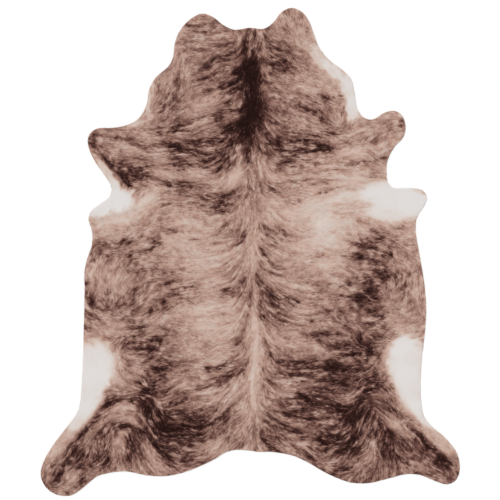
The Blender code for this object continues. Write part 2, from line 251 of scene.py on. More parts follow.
        (8.5, -30.5, -45, 7, 1.8, 35), (13.5, -30.5, -22, 6, 1.3, 30), (28, -27, 0, 7, 4, 18),
        (28, -29.8, -3, 6, 1, 30), (30, -15.5, 0, 5, 3, 30), (23.5, -35, 0, 3, 1.5, 20),
        (30, -36.5, -5, 6, 2.5, 35), (17, -37.5, -30, 4, 1.2, 20), (7, -38.5, -60, 3.5, 1, 30),
        (15, -42.3, -12, 7, 1.6, 35), (18, -45.5, -20, 4, 3, 25), (8, -44, -48, 7, 1.8, 42),
        (13.5, -48.3, -15, 8, 2.2, 50), (22, -48.5, 3, 8, 1.8, 38), (26.5, -46.5, 12, 5, 2, 35),
        (26, -51, 8, 9, 3.2, 40), (20, -54, -5, 11, 1.8, 42), (7.5, -57, -62, 5, 3.4, 38),
        (9.5, -60, -42, 5, 1.8, 35), (18, -36, 0, 10, 3, -15), (18, -40.8, -3, 12, 1.4, -20),
        (18, -60, -15, 12, 3, -12),
    ),
    "light line down the back": (
        (2.2, -20, 90, 36, 2.4, -18), (2.2, -46, 90, 26, 2.8, -34), (1.5, -63, 88, 14, 3.2, -20),
    ),
    "right foreleg and elbow": (
        (33, 51.8, -3, 8, 2, 40), (40, 52, 10, 6, 1.4, 35), (31.5, 46.8, -20, 6, 2.6, 50),
        (35, 45.2, -10, 5, 1.2, 35), (31, 44, 0, 4, 1, 35), (43, 48, 10, 3, 1, 30),
        (47.5, 48, 20, 8, 1.4, 25), (55.5, 48.5, 45, 5, 4, 20), (52.5, 43, -50, 5, 1.6, 25),
        (52, 40, -8, 4, 2.2, 38), (58.5, 41, 0, 3, 2, 38), (48, 40, 3, 6, 1, 20),
        (42, 40.5, 5, 4, 1.2, 35), (34, 39, 0, 8, 1.2, 25), (46, 38, 15, 8, 1.2, 30),
        (53, 33.5, 80, 4, 3, 30), (36, 31.5, 13, 11, 1.2, 35), (35, 27.5, 8, 8, 1, 30),
        (47, 14, -20, 9, 1.3, 20), (36.5, 9.3, 0, 4, 0.9, 25), (53.5, 9, -40, 5, 1.4, 25),
        (67, 11, 0, 9, 2, 20), (58, 9, -30, 4, 3.5, 40), (62, 4, -28, 6, 2.4, 50),
        (57, 5.5, 0, 4, 1.5, 30), (51, 5.5, 10, 7, 2.5, 50), (47.5, 3, 30, 5, 3.5, 40),
        (53.5, 2, -35, 5, 1.5, 45), (60, -0.5, -10, 6, 2, 45), (62.5, -2, -50, 4, 1.5, 35),
        (48, -2, -10, 9, 2.8, 55), (69.5, -2.5, 0, 3, 2, 25), (45, 43.8, 15, 8, 2, -15),
        (47, 32.5, 0, 8, 3, -22), (34, 12, 0, 10, 6, -28), (36, 4.5, -10, 8, 3, -20),
    ),
    "right flank": (
        (55, -4.5, -20, 5, 1.8, 35), (53, -9.5, 20, 5, 2.5, 30), (57.5, -9.5, 80, 6, 4, 35),
        (57.5, -13, 60, 4, 2.5, 30), (52.2, -13.5, 80, 5, 3.5, 55), (48, -12.5, 10, 5, 2, 30),
        (41, -13, -25, 6, 1.6, 40), (49, -17.5, 10, 5, 3, 30), (53, -18, 80, 5, 3, 40),
        (49, -19.8, -5, 11, 1.8, 55), (53, -21.5, -10, 5, 2, 40), (47, -24, 80, 5, 2.4, 45),
        (42, -23, 0, 4, 2, 25), (40.5, -27, -38, 6, 2.2, 35), (36, -25.5, -20, 6, 1.2, 20),
        (56, -26.5, -40, 5, 2.4, 40), (62.5, -11.5, -35, 5, 2, 35), (67, -12, 90, 4, 2.5, 30),
        (62, -21, 60, 4, 1.8, 25), (66, -19, 30, 3, 1.5, 20), (53, -31.5, -5, 6, 2, 45),
        (47, -35, -62, 6, 1.8, 45), (47.5, -37.5, 80, 4, 3, 35), (56, -36.5, -12, 7, 2.4, 35),
        (59.5, -33.5, 80, 4, 2, 25), (41, -31.5, -10, 6, 1, 20), (33, -36.5, -3, 8, 1.6, 32),
        (40.5, -41.5, 10, 7, 3.5, 50), (49.5, -41.5, 60, 5, 3.5, 55), (47, -43.8, 5, 10, 1.8, 45),
        (53, -44, -10, 5, 2, 30), (49.5, -47, -60, 4, 1.8, 35), (73.5, -7.5, -60, 3, 2, 40),
        (34, -5.5, 0, 10, 4, -30), (58.5, -18, 90, 6, 3, -15), (66, -27, 5, 10, 5, -18),
        (66, -33, 0, 12, 3, -15), (40, -46.5, 0, 8, 2, -10),
    ),
    "dark patch before the right haunch": (
        (34.5, -48.8, -4, 10, 1.8, 42), (33, -46.5, -5, 7, 1.2, 32), (38, -50.5, 0, 6, 1.8, 38),
        (35.5, -52.5, 0, 4, 2.5, 40), (45, -51.5, 0, 11, 2, 42), (45, -54.3, 0, 9, 2, 42),
        (53.5, -56, 15, 8, 2.8, 50), (35, -56.5, -5, 7, 1.8, 40), (41, -58.3, -8, 9, 3, 50),
        (35, -61.3, -10, 6, 1.6, 38), (25, -63.5, 0, 9, 4.5, 55), (19, -66.3, -15, 6, 1.6, 38),
        (27, -67.5, -5, 8, 3, 55), (24, -61, 0, 8, 1.4, 35), (31, -59, 0, 5, 2, 35),
        (37.5, -66.5, -8, 5, 2.8, 50), (33, -67.3, -5, 7, 2.6, 45), (38.5, -71.5, 0, 5, 2.4, 48),
        (14, -63, -25, 7, 1.6, 18), (17, -57.5, -10, 8, 1.2, 22), (59, -59.5, -50, 8, 2.6, 38),
        (40, -63, -10, 10, 2, -12),
    ),
    "right haunch": (
        (12, -69, -25, 6, 1.6, 20), (17, -71, -18, 8, 1.8, 30), (26, -73.8, -12, 12, 1.6, 42),
        (8.5, -72.8, -38, 8, 1.4, 30), (13, -75.8, -18, 5, 2, 36), (20, -78.3, -20, 10, 1.8, 35),
        (24, -80.5, -10, 8, 1.2, 32), (30, -79, -10, 5, 1, 40), (31, -82, -15, 6, 2.5, 28),
        (14, -81, -55, 6, 2.6, 22), (7, -83.5, -38, 6, 2, 45), (11, -86, -25, 6, 2.2, 35),
        (28, -85.5, -20, 8, 2, 24), (25, -88.5, -32, 7, 1.2, 45), (27, -91, -30, 8, 1.4, 35),
        (43, -68.5, 42, 8, 2.5, 42), (48.5, -63.5, 50, 10, 3, 58), (53, -59.8, 30, 6, 3, 45),
        (51, -70.5, 68, 6, 2.2, 42), (56.5, -72, 85, 5, 3.5, 36), (46.5, -71.5, 60, 6, 2, 40),
        (43.5, -76.5, 47, 8, 5, 62), (38, -81, 12, 11, 5, 65), (40, -84.3, 5, 6, 2, 40),
        (45, -82.5, 58, 6, 1.5, 35), (47.5, -86, 22, 7, 2.5, 36), (53, -79, 60, 5, 3, 35),
        (57, -77.7, 70, 6, 4.5, 45), (60.5, -80.3, 50, 5, 4, 45), (62, -86, 88, 7, 3.4, 35),
        (65.5, -82.5, -52, 6, 2.5, 48), (66.5, -90.5, -45, 5, 1.6, 45), (58, -88.5, -70, 7, 1.6, 28),
        (42.5, -92, 58, 5, 1.8, 48), (37.5, -94, 5, 6, 1.8, 38), (38.5, -87.3, 12, 5, 1.4, 30),
        (49, -59.7, 48, 6, 0.9, -32), (46.6, -62, 50, 6, 0.8, -22), (63, -75.5, -60, 7, 4.6, -60),
        (67.5, -79.5, -42, 6, 1.4, -25), (49.5, -79, 70, 7, 1.6, -22), (53.5, -83.5, 65, 6, 1.5, -28),
        (51, -91, 12, 11, 5, -17), (46, -93.5, 5, 6, 2.6, -15), (24, -77, -15, 10, 2, -12),
        (21.5, -84, -18, 9, 3, -15), (34, -87.5, -5, 8, 1.4, -15), (54.5, -61.8, -3, 7, 1, -25),
    ),
    "right hind leg": (
        (64.5, -70.5, -35, 6, 1.8, 40), (70, -76.7, -48, 8, 2, 40), (75.5, -82, -42, 8, 2.6, 48),
        (72.5, -82.5, 60, 4, 1.6, 38), (81, -86, -40, 9, 2.4, 30), (83, -89, -40, 8, 2.6, 32),
        (83.5, -91.3, -22, 6, 2, 26), (88.3, -93.5, -50, 7, 2.2, 40), (78, -92, -33, 12, 3, 20),
        (85, -97, -40, 8, 3, 24), (76, -86.5, -40, 8, 4, 12), (87, -87, -56, 12, 3, -18),
        (70, -70, -55, 12, 2.6, -18),
    ),
    "left haunch": (
        (-55, -64.8, 0, 8, 2, 40), (-61.5, -65.5, 38, 6, 2.4, 42), (-65, -68.5, 48, 7, 3, 48),
        (-49, -66.5, -33, 8, 2.5, 42), (-45.5, -70, -57, 8, 3, 40), (-57, -75.3, 0, 9, 1.7, 50),
        (-50, -77.5, -30, 8, 2, 50), (-46.5, -79.8, -42, 5, 2.5, 45), (-61, -77, 42, 5, 2.5, 42),
        (-65.3, -80.8, 70, 7, 3.6, 55), (-64, -86, 82, 8, 4.5, 25), (-65, -90.5, 84, 5, 3, 42),
        (-62, -90, 84, 6, 2.6, 22), (-53, -81, -65, 4, 2, 35), (-51.5, -84, -75, 5, 2, 35),
        (-48.5, -86.5, -72, 6, 3, 35), (-47.5, -90.5, -40, 5, 2.6, 28), (-52.5, -89.5, -82, 6, 3, 33),
        (-57, -92.7, 88, 5, 4, 35), (-44, -66, -65, 8, 4, 28), (-43, -71.5, -68, 8, 3.4, 34),
        (-38, -71, -30, 6, 4, 46), (-38, -77, -40, 8, 5, 58), (-33, -72.3, 0, 6, 2.2, 40),
        (-30, -77.7, 4, 11, 4, 60), (-34, -79.8, 8, 7, 2, 45), (-33, -82.5, 4, 8, 2, 42),
        (-28, -72, 3, 9, 3, 40), (-21, -73.5, 10, 6, 1.6, 30), (-23.5, -76.7, 7, 13, 2.6, 52),
        (-24, -79.7, 5, 9, 2.2, 42), (-22, -82, 8, 8, 1.6, 40), (-15, -73, 28, 9, 2.3, 42),
        (-15, -68.3, 28, 7, 1.6, 36), (-22, -68.8, 24, 6, 1.4, 30), (-9, -69.5, 12, 4, 2, 28),
        (-9, -72, 28, 6, 1.6, 30), (-40, -85, -52, 8, 3, 48), (-37, -89, -48, 8, 2.5, 38),
        (-34.5, -93, -45, 6, 2, 38), (-33.5, -86.7, -20, 7, 1.6, 42), (-19, -86.5, 20, 6, 1.5, 33),
        (-25.5, -86.7, 8, 6, 1.6, 30), (-28, -90.5, -3, 6, 2, 38), (-22, -92.3, 20, 6, 1.5, 20),
        (-59.5, -68.4, 30, 8, 1.7, -25), (-54.5, -66.6, 0, 4, 1.1, -18), (-53.5, -72.2, -8, 8, 2.6, -34),
        (-62, -73.3, 38, 8, 2.2, -22), (-66.5, -76.3, 50, 6, 2.4, -32), (-56.5, -82, 85, 8, 3.4, -20),
        (-44, -86.8, -66, 9, 3, -25), (-40.3, -72.6, -52, 6, 0.9, -38), (-13, -80, 75, 8, 4, -10),
        (-19, -84.7, 18, 6, 1.3, -18), (-15, -88, 25, 6, 2, -18),
    ),
    "by the tail": (
        (-4, -64, 55, 4, 1.4, 28), (-11, -78, 35, 5, 1.1, 24), (-6, -75.5, 30, 6, 0.9, 20),
        (-9, -81.5, 60, 4, 2, 25), (-7, -84, 80, 3, 1.3, 28), (-3.5, -84.5, 25, 4, 1.3, 33),
        (9, -78.5, -30, 6, 2, 20),
    ),
    "left hind leg": (
        (-67.8, -73.5, 42, 6, 2.5, 36), (-72, -78, 47, 9, 2.5, 36), (-75.8, -82.3, 46, 6, 2, 32),
        (-76.5, -86.5, 45, 5, 5, 38), (-73.5, -88.5, -40, 4, 2.6, 34), (-79.3, -92, 46, 9, 3, 38),
        (-84, -97, 52, 8, 2.4, 43), (-88.3, -101.3, -58, 5, 2.5, 50), (-72, -96.5, 72, 5, 2.5, 36),
        (-73, -101, 38, 6, 2.5, 34), (-69, -92.5, 15, 4, 2, 30), (-87.5, -90, 64, 8, 4, -12),
        (-67.5, -95.4, 26, 10, 1.8, -12),
    ),
}

# The black stripe down the neck and its spurs, as streaks of solid colour.
STRIPE = (
    (-0.2, 79.5, 90, 10, 9, 52), (1.6, 84, 90, 6, 3.5, 45), (1.1, 71, 92, 16, 7, 52),
    (1.2, 63, 88, 11, 9.2, 52), (-0.8, 56.5, 80, 10, 8, 46), (-8, 73.6, 8, 9, 2.4, 42),
    (-4.6, 76.5, 50, 8, 3, 24), (6, 74, -5, 5, 2, 30), (-7.5, 53.5, 55, 9, 4, 24), (-3, 50, 75, 9, 4, 26),
    (4, 57, -70, 8, 2.4, 30), (0.6, 50, 88, 8, 2.4, 30),
)

# Where the hair shows as long sleek strands: the middle, the turn, the length and the width of each
# area, and how much they show, in hundredths.
Area = namedtuple("Area", "x y turn long wide share")
SLEEK_AREAS = (
    (-20, 84, 20, 44, 32, 90),  # left of the neck
    (-26, 38, 0, 50, 44, 100),  # left shoulder
    (26, 38, 0, 60, 44, 100),  # right shoulder
    (2, -20, 90, 110, 52, 90),  # back
    (2, -62, 90, 44, 66, 90),  # loins
    (-40, -80, 0, 60, 50, 90),  # left haunch
    (44, -80, 0, 60, 44, 90),  # right haunch
)

# Where the coat has no brindle, in the same columns: the share is how much of it the area hides.
WHITES = {
    "left flank": (
        (-68, -48.5, 88, 20, 18.5, 93), (-70, -60.5, 65, 24, 14, 93), (-74, -71.5, 52, 18, 8, 82),
    ),
    "right flank": (
        (68, -47.5, 88, 22, 18, 93), (66.5, -41, 60, 10, 8, 85), (70, -59.5, -68, 23, 13, 93),
        (75.5, -71, -50, 18, 6.5, 88),
    ),
    "left hind leg": ((-82, -82, 54, 24, 7, 42),),
    "right hind leg": ((82, -82, -44, 22, 6, 42),),
    "left armpit": (
        (-63.5, 36, -52, 11, 3.4, 70), (-59.5, 29, -60, 7, 5, 90), (-58, 22.5, 8, 15, 11, 100),
        (-65.5, 18.5, 25, 11, 6.5, 95), (-46, 22.5, 35, 12, 3, 35),
    ),
    "right armpit": (
        (61, 25, -6, 26, 11.5, 95), (71, 21.5, 0, 14, 11, 100), (61, 17, -8, 22, 8, 85),
        (44, 24, 8, 20, 5, 50),
    ),
    "left neck": ((-44.5, 65, 85, 12, 2, 50), (-50, 56, 15, 8, 2.5, 40)),
    "right neck": (
        (43.5, 71, 100, 14, 7.5, 85), (44.5, 62.5, 95, 10, 6.5, 85), (36.5, 79, -42, 12, 5, 75),
        (31, 85, -62, 12, 5.5, 60),
    ),
}

CELL = 0.25  # centimetres: the pattern is worked out on a square grid this fine
HALF_WIDTH = 94.0  # centimetres from the middle to the grid's left and right sides
HALF_LENGTH = 109.0  # and to its ends
LIE_REACH = 1.5  # centimetres: places nearer than this to a known lie all follow it
LIE_BLUR = 6  # cells that the lie is smoothed over
SHORTEST = 1.8  # a streak no longer than this beside its width doesn't show the lie
SLIM_SPREAD = 3  # one longer than that by this much, beside its width, shows it in full
WAVE = 10  # degrees that the hair waves to and fro
WAVE_BLUR = 8  # cells that a wave is smoothed over
BASE = 0.39  # darkness of the plain brown ground
GROUND_FALL = 2.0  # how sharply a broad area of the ground ends
STREAK_FALL = 2.2  # how sharply a streak ends
STRIPE_FALL = 3.0  # how sharply the neck's stripe ends
SLEEK_FALL = 3.0  # how sharply an area of long strands ends
WHITE_FALL = 8.0  # how sharply a white area ends
HEART = 0.33  # how much of its strength a streak has itself
CLOUD = 0.24  # and the wider brown cloud that it lies in
CLOUD_LONGER, CLOUD_WIDER = 1.3, 2.4  # the cloud's length and width beside the streak's
CLOUD_END, CLOUD_SIDE = 2.0, 1.0  # centimetres more than that
STREAK_RAGS = (0.9, 0.3)  # centimetres that the hair carries a streak's colour along and across it
STRIPE_RAGS = (1.2, 0.6)  # and the stripe's
WHITE_RAGS = (0.8, 0.0)  # and a white area's
CARRY_SHARES = (0.8, 0.6)  # how much the larger and the smaller tufts count in that
WINDOW_LENGTHS = 1.6  # a streak is worked out to this many half lengths from its middle
WINDOW_MORE = 3  # and half its width and this many centimetres more
BROKEN = 4.0  # how much the tufts of other colours break up a streak
TUFTS_IN_DARK = 0.6  # how much stronger the tufts are in the darkest hair
TUFTS_LIMITS = (-0.3, 1)  # the least and the most of that, in the palest hair and in the darkest
PALE, FULL_DARK = 0.3, 0.7  # past these darknesses, more or less of it counts less and less
ENDS_FALL = 1.8  # and how fast it does
RELIEF_SHARES = (0.7, 0.3)  # how much the medium and the coarse tufts stand out of the coat
RELIEF_MOST = 1.5  # and how far at most, in spreads of the tufts
NEVER_ZERO = 1e-12  # keeps a size that is divided by above nothing
LAST_CELL = 1.001  # places stay this many cells inside the grid's far sides, as a cell lies past them

# Tufts of a colour that run along the hair: their width and length, in centimetres, and how much
# they change the darkness in rough hair and in sleek hair.
Tufts = namedtuple("Tufts", "wide long rough sleek")
TUFTS = {
    "broad": Tufts(1.6, 12.0, 0.02, 0.02),
    "coarse": Tufts(0.8, 8.0, 0.035, 0.035),
    "strands": Tufts(0.35, 20.0, 0.015, 0.055),
    "medium": Tufts(0.45, 2.6, 0.025, 0.045),
    "fine": Tufts(0.2, 1.4, 0.065, 0.06),
    "fibres": Tufts(0.2, 6.0, 0.025, 0.045),
    "mottle": Tufts(0.8, 1.0, 0.05, 0.0),
}
SEED = 11


def grid_places():
    """The x and y of each cell of the pattern's grid, in centimetres."""
    x = np.arange(-HALF_WIDTH, HALF_WIDTH + CELL, CELL, dtype=np.float32)
    y = np.arange(-HALF_LENGTH, HALF_LENGTH + CELL, CELL, dtype=np.float32)
    return np.meshgrid(x, y)


def read_grid(field, x, y):
    """The field's values at these places, in centimetres, blended between the four nearest cells."""
    across = np.clip((x + HALF_WIDTH) / CELL, 0, field.shape[1] - LAST_CELL)
    up = np.clip((y + HALF_LENGTH) / CELL, 0, field.shape[0] - LAST_CELL)
    column, row = across.astype(np.int32), up.astype(np.int32)
    right, above = (across - column).astype(np.float32), (up - row).astype(np.float32)
    start = row * field.shape[1] + column
    cells = field.ravel()
    lower = cells[start] * (1 - right) + cells[start + 1] * right
    start += field.shape[1]
    upper = cells[start] * (1 - right) + cells[start + 1] * right
    return lower * (1 - above) + upper * above


def rows_of(kind, groups):
    """The rows of all the groups, with the names of their columns."""
    return [kind._make(row) for rows in groups.values() for row in rows]


def hair_lines(x, y):
    """The hair's line at each place, as the cosine and sine of twice its turn from the X axis."""
    known = [(lie.x, lie.y, lie.turn, 1.0) for lie in rows_of(Lie, LIES)]
    for streak in rows_of(Streak, STREAKS):
        slim = (streak.long / streak.wide - SHORTEST) / SLIM_SPREAD
        known.append((streak.x, streak.y, streak.turn, min(1.0, max(0.0, slim))))
    cosines, sines = np.zeros_like(x), np.zeros_like(x)
    for place_x, place_y, turn, weight in known:
        away = (x - place_x) ** 2 + (y - place_y) ** 2 + LIE_REACH**2
        pull = weight / (away * away)
        cosines += pull * cos(2 * radians(turn))
        sines += pull * sin(2 * radians(turn))
    size = np.hypot(cosines, sines) + NEVER_ZERO
    cosines, sines = blurred(cosines / size, LIE_BLUR), blurred(sines / size, LIE_BLUR)
    size = np.hypot(cosines, sines) + NEVER_ZERO
    return cosines / size, sines / size


def waved(lines, chance):
    """The hair's lines turned a little to and fro."""
    wave = blurred(chance.standard_normal(lines[0].shape).astype(np.float32), WAVE_BLUR)
    turn = np.arctan2(lines[1], lines[0]) + 2 * radians(WAVE) * wave / wave.std()
    return np.cos(turn), np.sin(turn)


def blurred(field, radius):
    """The field averaged over about this radius, in cells, by three runs of a box each way."""
    width = 2 * radius + 1
    for _ in range(3):
        for axis in (0, 1):
            pad = [(0, 0), (0, 0)]
            pad[axis] = (radius + 1, radius)
            total = np.cumsum(np.pad(field, pad, mode="wrap"), axis=axis, dtype=np.float64)
            ends = [slice(None), slice(None)]
            starts = [slice(None), slice(None)]
            ends[axis], starts[axis] = slice(width, None), slice(None, -width)
            field = ((total[tuple(ends)] - total[tuple(starts)]) / width).astype(np.float32)
    return field


def combed(noise, lines, x, y, length):
    """The noise averaged along the hair over this length, in centimetres, with spread 1."""
    total = noise.copy()
    steps = ceil(length / 2 / CELL)
    turn = np.arctan2(lines[1], lines[0]) / 2
    for way in (1, -1):
        at_x, at_y = x.copy(), y.copy()
        go_x, go_y = way * np.cos(turn), way * np.sin(turn)
        for step in range(1, steps + 1):
            at_x += go_x * CELL
            at_y += go_y * CELL
            total += noise_weight(step, steps) * read_grid(noise, at_x, at_y)
            here = np.arctan2(read_grid(lines[1], at_x, at_y), read_grid(lines[0], at_x, at_y)) / 2
            next_x, next_y = np.cos(here), np.sin(here)
            same = np.where(next_x * go_x + next_y * go_y < 0, -1, 1).astype(np.float32)
            go_x, go_y = next_x * same, next_y * same
    return (total - total.mean()) / total.std()


def noise_weight(step, steps):
    """How much a step along the hair counts: all of it near the middle, none past the last."""
    return 0.5 + 0.5 * cos(pi * step / (steps + 1))


def tufts(kind, lines, x, y, chance):
    """Noise drawn out into tufts of this width and length, with spread 1."""
    radius = round(kind.wide / CELL / 2)
    noise = chance.standard_normal(x.shape).astype(np.float32)
    return combed(blurred(noise, radius) if radius else noise, lines, x, y, kind.long)


def carried(x, y, lines, hair, rags):
    """The places moved along the hair and across it, tuft by tuft, this far in centimetres."""
    large, small = CARRY_SHARES
    along = rags[0] * (large * hair["coarse"] + small * hair["medium"])
    across = rags[1] * (large * hair["medium"] + small * hair["fine"])
    turn = np.arctan2(lines[1], lines[0]) / 2
    way_x, way_y = np.cos(turn), np.sin(turn)
    return x + along * way_x - across * way_y, y + along * way_y + across * way_x


def strength(row, x, y, fall):
    """1 in the middle of the streak or area, half at its long and wide ends, none outside."""
    turn = radians(row.turn)
    along = (x - row.x) * cos(turn) + (y - row.y) * sin(turn)
    across = (y - row.y) * cos(turn) - (x - row.x) * sin(turn)
    away = np.hypot(along / (row.long / 2), across / (row.wide / 2))
    return np.exp(-np.log(2) * away**fall)


def window(row):
    """The part of the grid that a streak or area can reach."""
    reach = row.long / 2 * WINDOW_LENGTHS + row.wide / 2 + WINDOW_MORE
    columns = [int((row.x + side * reach + HALF_WIDTH) / CELL) for side in (-1, 1)]
    rows = [int((row.y + side * reach + HALF_LENGTH) / CELL) for side in (-1, 1)]
    return slice(max(0, rows[0]), rows[1]), slice(max(0, columns[0]), columns[1])


def add_rows(dark, rows, x, y, fall, gain=None):
    """Darken the grid by each row's streak, seen at these places."""
    for row in rows:
        part = window(row)
        darker = row.dark / 100 * strength(row, x[part], y[part], fall)
        dark[part] += darker if gain is None else darker * gain[part]


def cloud(streak):
    """The cloud of browner hair round a streak."""
    return streak._replace(
        long=streak.long * CLOUD_LONGER + CLOUD_END, wide=streak.wide * CLOUD_WIDER + CLOUD_SIDE
    )


def brindle_share(x, y):
    """How much of the brindle shows at each place: none in a white area, all outside."""
    share = np.ones_like(x)
    for row in rows_of(Area, WHITES):
        part = window(row)
        share[part] *= 1 - row.share / 100 * strength(row, x[part], y[part], WHITE_FALL)
    return share


def sleek_share(x, y):
    """How much the long strands show at each place."""
    share = np.zeros_like(x)
    for row in map(Area._make, SLEEK_AREAS):
        share = np.maximum(share, row.share / 100 * strength(row, x, y, SLEEK_FALL))
    return share


def tint(hair, sleek):
    """How much darker each tuft is than the hair round it."""
    return sum((kind.rough + (kind.sleek - kind.rough) * sleek) * hair[name] for name, kind in TUFTS.items())


def soft_ends(dark):
    """The darkness with its palest and darkest hair drawn in a little."""
    over, under = np.maximum(0, dark - FULL_DARK), np.maximum(0, PALE - dark)
    return dark - over + over / (1 + ENDS_FALL * over) + under - under / (1 + ENDS_FALL * under)


def brindle(x, y, lines, hair):
    """The darkness of the coat as if it had no white areas."""
    tufted = tint(hair, sleek_share(x, y))
    streaks = rows_of(Streak, STREAKS)
    ragged = carried(x, y, lines, hair, STREAK_RAGS)
    dark = np.full_like(x, BASE)
    add_rows(dark, map(Streak._make, GROUNDS), x, y, GROUND_FALL)
    add_rows(dark, streaks, *ragged, STREAK_FALL, HEART * np.maximum(0, 1 + BROKEN * tufted))
    add_rows(dark, map(cloud, streaks), *ragged, GROUND_FALL, np.full_like(x, CLOUD))
    ragged = carried(x, y, lines, hair, STRIPE_RAGS)
    add_rows(dark, map(Streak._make, STRIPE), *ragged, STRIPE_FALL)
    darker = np.clip((dark - BASE) / BASE, *TUFTS_LIMITS)
    return soft_ends(dark + tufted * (1 + TUFTS_IN_DARK * darker))


def pattern():
    """The coat's darkness, from 0 to 1, the hair's lines and its tufts' relief, over the grid."""
    x, y = grid_places()
    lines = waved(hair_lines(x, y), np.random.default_rng(SEED + len(TUFTS)))
    hair = {
        name: tufts(kind, lines, x, y, np.random.default_rng(SEED + number))
        for number, (name, kind) in enumerate(TUFTS.items())
    }
    share = brindle_share(*carried(x, y, lines, hair, WHITE_RAGS))
    dark = np.clip(brindle(x, y, lines, hair) * share, 0, 1)
    medium, coarse = RELIEF_SHARES
    relief = np.clip(medium * hair["medium"] + coarse * hair["coarse"], -RELIEF_MOST, RELIEF_MOST)
    return dark, lines, share * relief


# ---- sizes of the sheet and its hair, in metres

NET_STEP = 6.8 * MM  # between the corners of the hair side
UNDER_STEP = 16.0 * MM  # between the corners of the flesh side
EDGE_STEP = 6.0 * MM  # along the cut edge
CUT_SET_OUT = 0.8 * MM  # how far the cut edge stands out past the flesh side
LEATHER = 2.0 * MM  # thickness of the skin under the coat
CUT_HEIGHTS = (0.5 * MM, 1.8 * MM)  # the cut edge's lower and upper corners
ROLL_INSETS = (0.5 * MM, 2.2 * MM, 4.8 * MM, 8.0 * MM)  # where the coat rolls over the edge
PUCKER = 0.25 * MM  # how far the flesh side lifts off the floor in places
PUCKER_TURNS = (61, 47)  # radians a metre that its waves turn, across the hide and along it
PUCKER_START = 1  # radians of the waves along it at the hide's middle
TUFT_HEIGHT = 0.35 * MM  # how much the coat's tufts stand out of its surface
SAME_PLACE = 1e-9  # points nearer than this are one point to the triangulation
WITHIN_OUTLINE = 1  # the triangulation's choice of the triangles inside the outline alone
ABOVE = 0.05  # a height from which rays down meet the hair side
FLAT = 1e-5  # corners lower than this are on the floor
COAT, CUT, FLESH = range(3)  # the numbers of the sheet's finishes
MAP_RING = 3.0 * MM  # how far apart the upright edge's rings lie in the sheet's flat map
MAP_MARGIN = 0.01  # of the sheet's flat map, left free at its rim
COAT_SHARE = 0.75  # of the sheet's flat map, for the coat

LOCK_STEP = 3.95 * MM  # between the roots of the locks of hair
ROOT_STRAY = 0.45  # of that step, how far a root may lie off its place each way
LOCK_LENGTH = (10 * MM, 16 * MM)
LOCK_WIDTH = (1.8 * MM, 2.8 * MM)
LOCK_RIDGE = (0.12 * MM, 0.35 * MM)  # how high the ridge of a lock stands over the sheet
LOCK_TIP = (0.05 * MM, 0.9 * MM)  # and its tip
RIDGE_SHARE = 0.35  # of the way from root to tip
WHITE_RISE = 0.3  # how much of that the locks of the white areas rise
ROOT_DEPTH = 0.25 * MM  # how deep the roots stand in the sheet
LOCK_ROUND = 0.45  # how much a lock's sides look turned away from its top
LOCK_STRAY = 9  # degrees of spread between neighbouring locks
LOCK_SHADE = 0.11  # spread of the darkness of single locks
LOCK_DEPTH_SHADES = (0.05, 0.05, 0.0, -0.04)  # painted shade: how much darker a lock is at its roots, ridge and tip, so the coat looks deep, with painted light at the tip
HANG_OVER = 3.0 * MM  # how far hair at the edge hangs over it
EDGE_HAIR_HEIGHT = 1.2 * MM  # the height of its tips there
TRIED_SHARES = (0.75, 0.5, 0.25)  # of a lock's length, where it is tried for the edge
OUTWARDS = 0.5  # how much a lock's way outwards counts beside its way to the tail
# The triangles of a lock from its left root, right root, ridge and tip, the one below first.
LOCK_FACES = np.array([(0, 3, 1), (0, 2, 3), (1, 3, 2), (0, 1, 2)])
# Where those corners are in a lock's cell of the flat map.
LOCK_SPOTS = np.array([(0.1, 0.1), (0.9, 0.1), (0.5, 0.4), (0.5, 0.92)])
HAIR_NAMES = (
    "hair_left_side", "hair_left_back", "hair_middle", "hair_right_back", "hair_right_side",
)

# ---- the studio's sizes

VIEW_WIDTH = 2.183  # metres of floor that the picture shows
VIEW_MIDDLE = (-0.0012, 0.0083)  # the place on the rug in the middle of the picture
LENS = 85.0  # millimetres
FLOOR_SIZE = 60.0
FLOOR_HEIGHT = -0.3 * MM  # a little under the flesh side
LAMP_STRENGTH = 1.0
LAMP_SPREAD = 30  # degrees across the lamp as the rug sees it
LAMP_TURN = (-38, -28, 0)  # degrees
FILL_STRENGTH = 0.88


def flesh_outline(node):
    """The corners round the hide's flat flesh side, in order, anticlockwise from above."""
    mesh = node.data
    mesh.calc_loop_triangles()
    ways = set()
    for face in mesh.loop_triangles:
        places = [tuple(round(value, 6) for value in mesh.vertices[i].co) for i in face.vertices]
        if max(place[2] for place in places) < FLAT:
            ways.update((places[i - 1], places[i]) for i in range(3))
    before = {end: start for start, end in ways if (end, start) not in ways}
    loop = [min(before)]
    while before[loop[-1]] != loop[0]:
        loop.append(before[loop[-1]])
    return np.array(loop)[:, :2]


def evenly(loop, step):
    """Points about this far apart along a smooth closed curve through the loop's corners."""
    points = []
    for i in range(len(loop)):
        before, start, end, after = (loop[(i + k) % len(loop)] for k in (-1, 0, 1, 2))
        count = ceil(np.hypot(*(end - start)) / step)
        share = (np.arange(count) / count)[:, None]
        points.append(
            start
            + share * (end - before) / 2
            + share**2 * (before - 2.5 * start + 2 * end - 0.5 * after)
            + share**3 * (1.5 * (start - end) + 0.5 * (after - before))
        )
    return np.concatenate(points)


def set_in(loop, distance):
    """The loop's points moved this far towards the inside, square to the edge."""
    along = np.roll(loop, -1, axis=0) - np.roll(loop, 1, axis=0)
    inwards = np.stack([-along[:, 1], along[:, 0]], axis=1)
    return loop + inwards / np.hypot(*inwards.T)[:, None] * distance


def net(step, low, high):
    """A staggered net of points over a box, as two columns."""
    rows = np.arange(low[1], high[1], step * sin(pi / 3))
    columns = np.arange(low[0], high[0], step)
    x, y = np.meshgrid(columns, rows)
    x[1::2] += step / 2
    return np.stack([x.ravel(), y.ravel()], axis=1)


